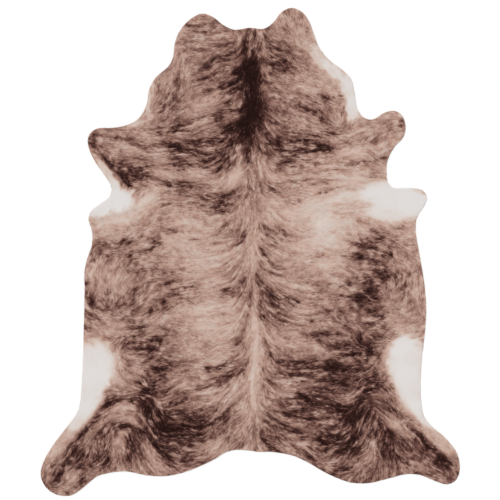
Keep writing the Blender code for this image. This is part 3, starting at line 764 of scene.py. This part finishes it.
def heights(surface, points, outside):
    """The height of the hair side over each point, and the given value past the edge."""
    down = Vector((0, 0, -1))
    hits = (surface.ray_cast(Vector((x, y, ABOVE)), down)[0] for x, y in points.tolist())
    return np.array([outside if hit is None else hit.z for hit in hits])


def clear_of(loop, points, distance):
    """Which points are further than this from every point of the loop."""
    far = np.ones(len(points), bool)
    for point in loop:
        near_x = np.abs(points[:, 0] - point[0]) < distance
        far[near_x] &= np.hypot(*(points[near_x] - point).T) >= distance
    return far


def fill(loop, inner):
    """Triangles over the inside of the loop, with corners at the inner points too."""
    points = [Vector(point) for point in np.concatenate([loop, inner]).tolist()]
    ways = [(i, (i + 1) % len(loop)) for i in range(len(loop))]
    flat, _, faces, *_ = delaunay_2d_cdt(points, ways, [], WITHIN_OUTLINE, SAME_PLACE)
    assert len(flat) == len(points), "the net's points lie clear of each other"
    return np.array(faces)


def new_mesh(name, corners, faces):
    """A mesh of triangles, from the corners' places and each triangle's corners."""
    mesh = bpy.data.meshes.new(name)
    mesh.vertices.add(len(corners))
    mesh.vertices.foreach_set("co", corners.astype(np.float32).ravel())
    mesh.loops.add(faces.size)
    mesh.loops.foreach_set("vertex_index", faces.astype(np.int32).ravel())
    mesh.polygons.add(len(faces))
    mesh.polygons.foreach_set("loop_start", np.arange(0, faces.size, 3, dtype=np.int32))
    mesh.update(calc_edges=True)
    return mesh


def link(name, mesh):
    piece = bpy.data.objects.new(name, mesh)
    bpy.context.scene.collection.objects.link(piece)
    return piece


def add_darkness(mesh, values):
    """The coat's darkness at each corner, for its colour."""
    mesh.attributes.new("darkness", "FLOAT", "POINT").data.foreach_set("value", values.astype(np.float32))


def add_map(mesh, spots):
    """A flat map of the mesh's triangles, from the spot of each of their corners."""
    mesh.uv_layers.new(name="OFBake").data.foreach_set("uv", spots.astype(np.float32).ravel())


def rim_rings(outline, surface):
    """The rings of corners up the cut edge and over the coat's roll, from the floor inwards."""
    cut = set_in(outline, -CUT_SET_OUT)
    rings = [(outline, np.zeros(len(cut)))]
    rings += [(cut, np.full(len(cut), height)) for height in CUT_HEIGHTS]
    for inset in ROLL_INSETS:
        roll = set_in(cut, inset)
        rings.append((roll, heights(surface, roll, LEATHER)))
    return [np.column_stack(ring) for ring in rings]


def rim_faces(count, rings):
    """The triangles between each ring and the next."""
    here = np.arange(count)
    after = (here + 1) % count
    faces = []
    for low in range(0, (rings - 1) * count, count):
        high = low + count
        faces.append(np.stack([here + low, after + low, after + high], axis=1))
        faces.append(np.stack([here + low, after + high, here + high], axis=1))
    return np.concatenate(faces)


def net_within(surface, edge, step, clear):
    """A net of points under the hair side, all further than this from the edge."""
    points = net(step, edge.min(axis=0), edge.max(axis=0))
    points = points[heights(surface, points, 0) > 0]
    return points[clear_of(edge, points, clear)]


def hair_side(surface, edge, relief):
    """The corners of the hair side inside the rim, raised by the tufts."""
    points = net_within(surface, edge, NET_STEP, ROLL_INSETS[-1] + NET_STEP / 2)
    raised = TUFT_HEIGHT * read_grid(relief, *(points.T / CM))
    return np.column_stack([points, heights(surface, points, 0) + raised])


def flesh_side(surface, edge):
    """The corners of the flesh side, which lifts a little off the floor in places."""
    points = net_within(surface, edge, UNDER_STEP, UNDER_STEP)
    x, y = points.T
    lift = 0.5 + 0.5 * np.sin(x * PUCKER_TURNS[0]) * np.sin(y * PUCKER_TURNS[1] + PUCKER_START)
    return np.column_stack([points, PUCKER * lift])


def spread_out(corners, edge):
    """The sheet as seen from above, with the rings of its upright edge set out beside each other."""
    flat = corners[:, :2].copy()
    uprights = len(CUT_HEIGHTS) + 1
    for ring in range(uprights):
        flat[ring * len(edge) : (ring + 1) * len(edge)] = set_in(edge, (ring - uprights) * MAP_RING)
    return flat


def sheet_map(flat, corners, faces, under):
    """The spots of the sheet's coat and edge on the map's left, and of its flesh side on the right."""
    below = np.repeat(under, 3)
    spots = np.where(below[:, None], corners[faces.ravel(), :2], flat[faces.ravel()])
    spots = MAP_MARGIN + (spots - flat.min(axis=0)) / np.ptp(flat, axis=0) * (1 - 2 * MAP_MARGIN)
    spots[:, 0] *= np.where(below, 1 - COAT_SHARE, COAT_SHARE)
    spots[:, 0] += below * COAT_SHARE
    return spots


def build_sheet(node, surface, dark, relief):
    """The whole hide as one closed sheet: flesh side, cut edge, rolled coat and hair side."""
    rings = rim_rings(evenly(flesh_outline(node), EDGE_STEP), surface)
    edge = rings[1][:, :2]
    count, inmost = len(edge), (len(rings) - 1) * len(edge)
    top, under = hair_side(surface, edge, relief), flesh_side(surface, edge)
    corners = np.concatenate([*rings, top, under])

    rim = rim_faces(count, len(rings))
    coat_faces = fill(rings[-1][:, :2], top[:, :2]) + inmost
    flesh_faces = fill(rings[0][:, :2], under[:, :2])[:, ::-1]
    flesh_faces = np.where(flesh_faces < count, flesh_faces, flesh_faces + inmost + len(top))
    faces = np.concatenate([rim, coat_faces, flesh_faces])
    finish = np.full(len(faces), COAT)
    finish[: 2 * count * len(CUT_HEIGHTS)] = CUT
    finish[-len(flesh_faces) :] = FLESH

    mesh = new_mesh("hide_sheet", corners, faces)
    mesh.polygons.foreach_set("material_index", finish.astype(np.int32))
    mesh.shade_smooth()
    add_darkness(mesh, read_grid(dark, *(corners[:, :2].T / CM)))
    add_map(mesh, sheet_map(spread_out(corners, edge), corners, faces, finish == FLESH))
    return link("hide_sheet", mesh)


# ---- the locks of hair

Locks = namedtuple("Locks", "roots ground ways length over")


def lay_locks(surface, lines, low, high, chance):
    """Each lock's root, the sheet's height there, its way, its length and if it hangs over the edge."""
    roots = net(LOCK_STEP, low, high)
    roots += chance.uniform(-ROOT_STRAY, ROOT_STRAY, roots.shape) * LOCK_STEP
    ground = heights(surface, roots, 0)
    roots, ground = roots[ground > 0], ground[ground > 0]
    ways = lock_ways(lines, roots, chance)
    length = chance.uniform(*LOCK_LENGTH, len(roots))
    return Locks(roots, ground, ways, *kept_short(surface, roots, ways, length))


def lock_ways(lines, roots, chance):
    """The way each lock points: along the hair, to the tail and outwards from the back."""
    spots = roots.T / CM
    turn = np.arctan2(read_grid(lines[1], *spots), read_grid(lines[0], *spots)) / 2
    turn += np.radians(chance.normal(0, LOCK_STRAY, len(roots)))
    ways = np.stack([np.cos(turn), np.sin(turn)], axis=1)
    outwards = ways[:, 0] * np.sign(roots[:, 0]) * OUTWARDS - ways[:, 1]
    return ways * np.where(outwards < 0, -1, 1)[:, None]


def kept_short(surface, roots, ways, length):
    """The locks' lengths, cut where they would hang too far over the edge, and which ones hang."""
    over = heights(surface, roots + ways * length[:, None], 0) == 0
    longest = np.where(over, HANG_OVER, length)
    for share in TRIED_SHARES:
        reach = roots + ways * (length * share)[:, None]
        met = over & (longest == HANG_OVER) & (heights(surface, reach, 0) > 0)
        longest[met] = length[met] * share + HANG_OVER
    return np.minimum(length, longest), over


def left_of(ways):
    return np.stack([-ways[:, 1], ways[:, 0]], axis=1)


def lock_corners(locks, surface, relief, rise, chance):
    """Each lock's left root, right root, ridge and tip, from how much of its height it rises."""
    reach = locks.ways * locks.length[:, None]
    ridges, tips = locks.roots + reach * RIDGE_SHARE, locks.roots + reach
    sides = left_of(locks.ways) * chance.uniform(*LOCK_WIDTH, len(rise))[:, None] / 2
    tuft = TUFT_HEIGHT * np.maximum(0, read_grid(relief, *(locks.roots.T / CM)))
    ridge = heights(surface, ridges, EDGE_HAIR_HEIGHT) + tuft
    ridge += rise * chance.uniform(*LOCK_RIDGE, len(rise))
    tip = np.where(locks.over, EDGE_HAIR_HEIGHT, heights(surface, tips, 0) + tuft)
    tip += rise * chance.uniform(*LOCK_TIP, len(rise))
    root = locks.ground - ROOT_DEPTH
    corners = ((locks.roots + sides, root), (locks.roots - sides, root), (ridges, ridge), (tips, tip))
    return np.stack([np.column_stack(corner) for corner in corners], axis=1)


def lock_normals(corners, ways):
    """Where a lock faces at each corner: up, and at its roots to the sides as well."""
    left = np.column_stack([left_of(ways), np.zeros(len(ways))])
    up = np.cross(corners[:, 3] - corners[:, :2].mean(axis=1), left)
    up /= np.linalg.norm(up, axis=1)[:, None]
    turned = np.array([LOCK_ROUND, -LOCK_ROUND, 0, 0])[:, None]
    normals = up[:, None] + left[:, None] * turned
    return normals / np.linalg.norm(normals, axis=2)[..., None]


def lock_map(roots):
    """A cell of the map for each lock, with the cells laid out as the locks lie on the hide."""
    side = ceil(len(roots) ** 0.5)
    row, column = np.empty((2, len(roots)), int)
    row[np.argsort(roots[:, 1], kind="stable")] = np.arange(len(roots)) // side
    column[np.lexsort((roots[:, 0], row))] = np.arange(len(roots)) % side
    cells = np.stack([column, row], axis=1)[:, None, :]
    return ((cells + LOCK_SPOTS) / side)[:, LOCK_FACES.ravel()]


def hair_piece(name, corners, normals, shades):
    """One mesh of many locks, each a closed sliver of hair."""
    first = np.arange(len(corners))[:, None, None] * 4
    mesh = new_mesh(name, corners.reshape(-1, 3), (first + LOCK_FACES).reshape(-1, 3))
    mesh.normals_split_custom_set_from_vertices(normals.reshape(-1, 3))
    add_darkness(mesh, shades.ravel())
    add_map(mesh, lock_map(corners[:, 0, :2]))
    return link(name, mesh)


def build_hair(surface, dark, lines, relief, low, high):
    """The coat's locks as a few pieces, from the hide's left side to its right."""
    chance = np.random.default_rng(SEED + 1)
    locks = lay_locks(surface, lines, low, high, chance)
    ridges = locks.roots + locks.ways * (locks.length * RIDGE_SHARE)[:, None]
    shade = read_grid(dark, *(ridges.T / CM))
    coloured = np.minimum(1, shade / BASE)
    corners = lock_corners(locks, surface, relief, WHITE_RISE + (1 - WHITE_RISE) * coloured, chance)
    normals = lock_normals(corners, locks.ways)
    # each lock's own random tone, plus painted shade near its roots and painted light at its tip
    lock_tone_and_depth_shade = np.array(LOCK_DEPTH_SHADES) + chance.normal(0, LOCK_SHADE, len(shade))[:, None]
    shades = np.clip(shade[:, None] + lock_tone_and_depth_shade * coloured[:, None], 0, 1)
    order = np.argsort(locks.roots[:, 0], kind="stable")
    return [
        hair_piece(name, corners[part], normals[part], shades[part])
        for name, part in zip(HAIR_NAMES, np.array_split(order, len(HAIR_NAMES)))
    ]


# ---- materials

# The coat's colours from white through the plain ground to black-brown: darkness and sRGB colour.
PALETTE = (
    (0.00, (217, 213, 211)),
    (0.10, (210, 195, 186)),
    (0.25, (199, 170, 156)),
    (0.40, (179, 144, 130)),
    (0.55, (147, 111, 99)),
    (0.70, (104, 70, 63)),
    (0.85, (54, 29, 25)),
    (1.00, (27, 8, 6)),
)
GRAIN_SIZE, GRAIN_SHADE = 1.5 * MM, 0.06  # of the coat's grain, and how much darker it is here and there
PATCH_SIZE, COAT_ROUGHNESS = 6 * MM, (0.5, 0.72)  # of the glossier and duller patches of the coat
HAIR_SIZE, HAIR_DEPTH = 0.8 * MM, 0.1 * MM  # of its single hairs

CUT_COLOURS = ((0.25, (152, 128, 104)), (0.75, (196, 176, 150)))
FIBRE_SIZE, FIBRE_DEPTH = 0.7 * MM, 0.3 * MM  # of the torn fibres in the cut
CUT_ROUGHNESS = (0.75, 0.95)

FLESH_COLOURS = ((0.3, (176, 154, 128)), (0.5, (205, 190, 168)), (0.7, (221, 209, 190)))
FLESH_CLOUD = 90 * MM  # across its paler and darker clouds
NAP_SIZE, NAP_DEPTH = 1.2 * MM, 0.25 * MM  # of the suede's nap
FLESH_ROUGHNESS = (0.82, 0.98)

FLOOR_COLOURS = ((0.0, (246, 246, 246)), (1.0, (250, 250, 250)))
FLOOR_CLOUD = 400 * MM


def linear(colour):
    """An sRGB colour of 0 to 255 as linear light, with full alpha."""
    shares = (value / 255 for value in colour)
    return (*(s / 12.92 if s <= 0.04045 else ((s + 0.055) / 1.055) ** 2.4 for s in shares), 1.0)


class Nodes:
    """A material's node tree, with short ways to add and join its nodes."""

    def __init__(self, name):
        self.material = bpy.data.materials.new(name)
        self.material.use_nodes = True
        self.tree = self.material.node_tree
        self.shader = self.tree.nodes["Principled BSDF"]
        self.places = self.add("ShaderNodeTexCoord").outputs["Object"]

    def add(self, kind, **settings):
        node = self.tree.nodes.new(kind)
        for name, value in settings.items():
            setattr(node, name, value)
        return node

    def join(self, source, target):
        self.tree.links.new(source, target)

    def set(self, **values):
        for name, value in values.items():
            self.shader.inputs[name.replace("_", " ")].default_value = value

    def noise(self, size, detail=2.0, roughness=0.5):
        """Noise whose lumps are about this many metres across."""
        node = self.add("ShaderNodeTexNoise")
        node.inputs["Scale"].default_value = 1 / size
        node.inputs["Detail"].default_value = detail
        node.inputs["Roughness"].default_value = roughness
        self.join(self.places, node.inputs["Vector"])
        return node.outputs["Fac"]

    def spread(self, value, low, high):
        """A value of 0 to 1 stretched from low to high."""
        node = self.add("ShaderNodeMapRange")
        node.inputs["To Min"].default_value = low
        node.inputs["To Max"].default_value = high
        self.join(value, node.inputs["Value"])
        return node.outputs["Result"]

    def sum(self, one, other):
        node = self.add("ShaderNodeMath", operation="ADD", use_clamp=True)
        self.join(one, node.inputs[0])
        self.join(other, node.inputs[1])
        return node.outputs["Value"]

    def ramp(self, value, stops):
        """The colour at a value between stops of a position and an sRGB colour."""
        node = self.add("ShaderNodeValToRGB")
        elements = node.color_ramp.elements
        while len(elements) < len(stops):
            elements.new(1.0)
        for element, (position, colour) in zip(elements, stops):
            element.position = position
            element.color = linear(colour)
        self.join(value, node.inputs["Fac"])
        return node.outputs["Color"]

    def bump(self, value, depth):
        """Small lumps and hollows of this depth, in metres, on the surface."""
        node = self.add("ShaderNodeBump")
        node.inputs["Distance"].default_value = depth
        self.join(value, node.inputs["Height"])
        self.join(node.outputs["Normal"], self.shader.inputs["Normal"])


def coat_material():
    """Short sleek hair: brindle from the mesh's darkness, grained hair by hair."""
    made = Nodes("brindle coat")
    darkness = made.add("ShaderNodeAttribute", attribute_name="darkness").outputs["Fac"]
    grain = made.spread(made.noise(GRAIN_SIZE, detail=3.0), -GRAIN_SHADE, GRAIN_SHADE)
    made.join(made.ramp(made.sum(darkness, grain), PALETTE), made.shader.inputs["Base Color"])
    made.join(made.spread(made.noise(PATCH_SIZE), *COAT_ROUGHNESS), made.shader.inputs["Roughness"])
    made.bump(made.noise(HAIR_SIZE), HAIR_DEPTH)
    made.set(Specular_IOR_Level=0.05, Sheen_Weight=0.06, Sheen_Roughness=0.4)
    return made.material


def cut_material():
    """The hide's cut edge: pale tanned leather with torn fibres."""
    made = Nodes("cut leather edge")
    fibres = made.noise(FIBRE_SIZE, detail=5.0, roughness=0.7)
    made.join(made.ramp(fibres, CUT_COLOURS), made.shader.inputs["Base Color"])
    made.join(made.spread(fibres, *CUT_ROUGHNESS), made.shader.inputs["Roughness"])
    made.bump(fibres, FIBRE_DEPTH)
    made.set(Specular_IOR_Level=0.25)
    return made.material


def flesh_material():
    """The suede underside: fine nap, cloudy tan, paler and darker in places."""
    made = Nodes("suede flesh side")
    clouds = made.noise(FLESH_CLOUD, detail=6.0, roughness=0.6)
    made.join(made.ramp(clouds, FLESH_COLOURS), made.shader.inputs["Base Color"])
    nap = made.noise(NAP_SIZE, detail=4.0, roughness=0.65)
    made.join(made.spread(nap, *FLESH_ROUGHNESS), made.shader.inputs["Roughness"])
    made.bump(nap, NAP_DEPTH)
    made.set(Specular_IOR_Level=0.2, Sheen_Weight=0.3, Sheen_Roughness=0.5)
    return made.material


def floor_material():
    made = Nodes("pale floor")
    made.join(made.ramp(made.noise(FLOOR_CLOUD), FLOOR_COLOURS), made.shader.inputs["Base Color"])
    made.set(Roughness=0.8, Specular_IOR_Level=0.2)
    return made.material


# ---- the studio

def build_floor():
    mesh = bpy.data.meshes.new("floor")
    half = FLOOR_SIZE / 2
    corners = [(x, y, FLOOR_HEIGHT) for x, y in ((-half, -half), (half, -half), (half, half), (-half, half))]
    mesh.from_pydata(corners, [], [(0, 1, 2, 3)])
    mesh.materials.append(floor_material())
    link("floor", mesh)


def add_camera():
    """Straight above, with the neck at the top of the picture."""
    camera = bpy.data.cameras.new("camera")
    camera.lens = LENS
    holder = bpy.data.objects.new("camera", camera)
    holder.location = (*VIEW_MIDDLE, VIEW_WIDTH * LENS / camera.sensor_width)
    bpy.context.scene.collection.objects.link(holder)
    bpy.context.scene.camera = holder


def add_light():
    """One broad soft lamp from the neck's left, and an even fill from all round."""
    lamp = bpy.data.lights.new("soft lamp", "SUN")
    lamp.energy = LAMP_STRENGTH
    lamp.angle = radians(LAMP_SPREAD)
    holder = bpy.data.objects.new("soft lamp", lamp)
    holder.rotation_euler = [radians(turn) for turn in LAMP_TURN]
    bpy.context.scene.collection.objects.link(holder)
    world = bpy.data.worlds.new("fill")
    world.use_nodes = True
    background = world.node_tree.nodes["Background"]
    background.inputs["Color"].default_value = (1, 1, 1, 1)
    background.inputs["Strength"].default_value = FILL_STRENGTH
    bpy.context.scene.world = world
    bpy.context.scene.view_settings.view_transform = "Standard"


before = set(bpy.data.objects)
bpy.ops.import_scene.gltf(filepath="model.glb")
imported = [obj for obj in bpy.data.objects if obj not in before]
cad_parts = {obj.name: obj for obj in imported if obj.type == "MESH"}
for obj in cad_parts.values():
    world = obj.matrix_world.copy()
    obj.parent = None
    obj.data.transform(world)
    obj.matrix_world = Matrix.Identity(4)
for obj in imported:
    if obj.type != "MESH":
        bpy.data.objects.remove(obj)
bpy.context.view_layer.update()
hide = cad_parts["hide"]
surface = BVHTree.FromObject(hide, bpy.context.evaluated_depsgraph_get())
dark, lines, relief = pattern()

coat = coat_material()
sheet = build_sheet(hide, surface, dark, relief)
for finish in (coat, cut_material(), flesh_material()):  # numbered as COAT, CUT and FLESH
    sheet.data.materials.append(finish)
low, high = (np.array(corner)[:2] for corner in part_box("hide"))
hair = build_hair(surface, dark, lines, relief, low, high)
for lock in hair:
    lock.data.materials.append(coat)
for piece in (sheet, *hair):
    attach(piece, "root")
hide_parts("hide")

build_floor()
add_light()
add_camera()
